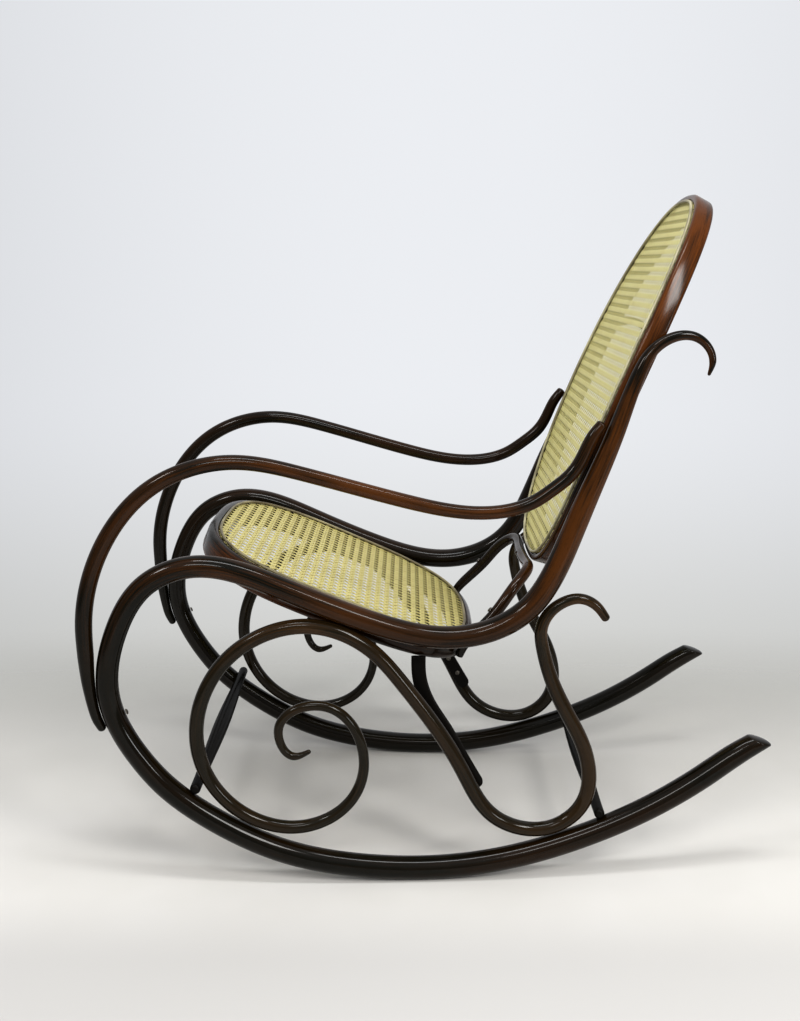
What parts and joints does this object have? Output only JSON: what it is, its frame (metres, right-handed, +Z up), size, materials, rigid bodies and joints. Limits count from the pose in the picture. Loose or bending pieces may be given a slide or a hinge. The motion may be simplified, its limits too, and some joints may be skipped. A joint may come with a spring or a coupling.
{
  "type": "rocking chair",
  "caption": "Bentwood rocking chair: bent round rods form the runners, arms and scrolls; oval leaning back and sloping seat are panels of woven cane.",
  "frame": {"origin": "centre of the bounding box, on the floor under the runners", "axes": "+X is the sitter's left, +Y is the rear, so the chair faces -Y, +Z is up"},
  "size_m": [0.5576, 1.0365, 1.0414],
  "materials": {
    "rod_stain": "dark walnut stain, glossy polish",
    "hoop_stain": "dark walnut stain, glossy polish",
    "turned_stain": "near-black stain, dull polish",
    "cane": "woven split cane, satin",
    "cane_bead": "aged split cane, dull",
    "screw_steel": "darkened steel"
  },
  "bodies": {
    "root": {"side_rod_left": "rod_stain", "side_rod_right": "rod_stain", "arm_left": "rod_stain", "arm_right": "rod_stain", "scroll_left": "rod_stain", "scroll_right": "rod_stain", "back_brace": "rod_stain", "strut_left": "turned_stain", "strut_right": "turned_stain", "front_stretcher": "turned_stain", "rear_stretcher": "turned_stain", "seat_hoop": "hoop_stain", "back_hoop": "hoop_stain", "seat_cane": "cane", "back_cane": "cane", "seat_spline": "cane_bead", "back_spline": "cane_bead", "arm_screw_left": "screw_steel", "arm_screw_right": "screw_steel", "brace_screw_left": "screw_steel", "brace_screw_right": "screw_steel", "brace_screw_middle": "screw_steel", "strut_screw_left_upper": "screw_steel", "strut_screw_left_lower": "screw_steel", "strut_screw_right_upper": "screw_steel", "strut_screw_right_lower": "screw_steel"}
  },
  "joints": []
}
